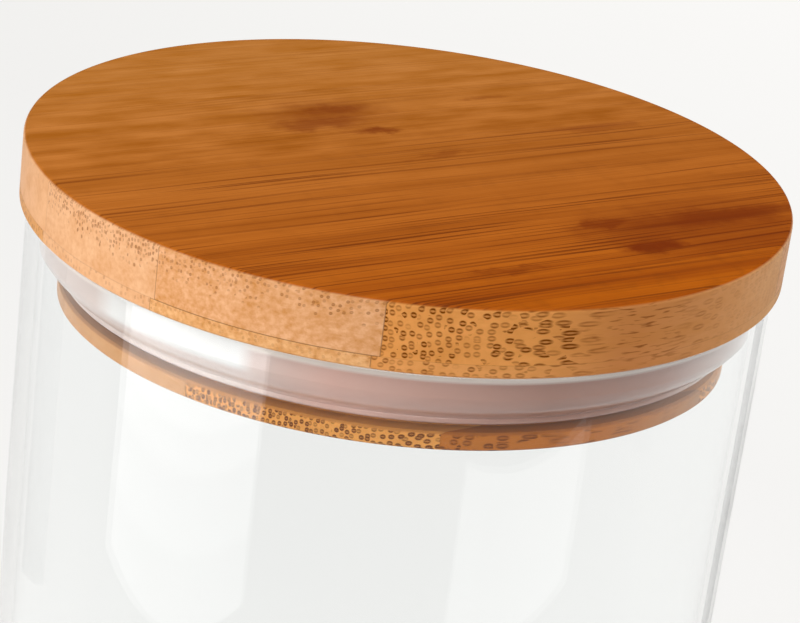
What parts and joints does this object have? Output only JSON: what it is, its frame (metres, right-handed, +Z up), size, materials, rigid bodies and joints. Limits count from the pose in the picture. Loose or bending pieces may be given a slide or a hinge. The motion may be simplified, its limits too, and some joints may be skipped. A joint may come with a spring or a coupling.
{
  "type": "lidded glass canister",
  "caption": "Straight glass storage jar with a lift-off lid of laminated bamboo, turned with a plug that carries a flared silicone sealing ring.",
  "frame": {"origin": "centre of the surface that the jar stands on, on the axis of the jar", "axes": "+Z up along the jar's axis, +X along the grain of the bamboo"},
  "size_m": [0.102, 0.102, 0.1589],
  "materials": {
    "glass": "clear blown borosilicate, fire-polished rim",
    "silicone": "translucent white, smooth moulded",
    "bamboo": "laminated bamboo, turned, sanded and varnished"
  },
  "bodies": {
    "jar": {"glass_jar": "glass"},
    "seal": {"seal_ring": "silicone"},
    "lid": {"top_ply_strip_1": "bamboo", "top_ply_strip_2": "bamboo", "top_ply_strip_3": "bamboo", "top_ply_strip_4": "bamboo", "top_ply_strip_5": "bamboo", "middle_ply_strip_1": "bamboo", "middle_ply_strip_2": "bamboo", "middle_ply_strip_3": "bamboo", "middle_ply_strip_4": "bamboo", "middle_ply_strip_5": "bamboo", "bottom_ply_strip_1": "bamboo", "bottom_ply_strip_2": "bamboo", "bottom_ply_strip_3": "bamboo", "bottom_ply_strip_4": "bamboo", "bottom_ply_strip_5": "bamboo"}
  },
  "joints": [
    {"name": "lid_lift", "type": "slide", "parent": "jar", "child": "seal", "axis": [0, 0, 1], "range_m": [0, 0.12]},
    {"name": "lid_turn", "type": "hinge", "parent": "seal", "child": "lid", "pos_m": [0, 0, 0.14], "axis": [0, 0, 1], "continuous": true}
  ]
}
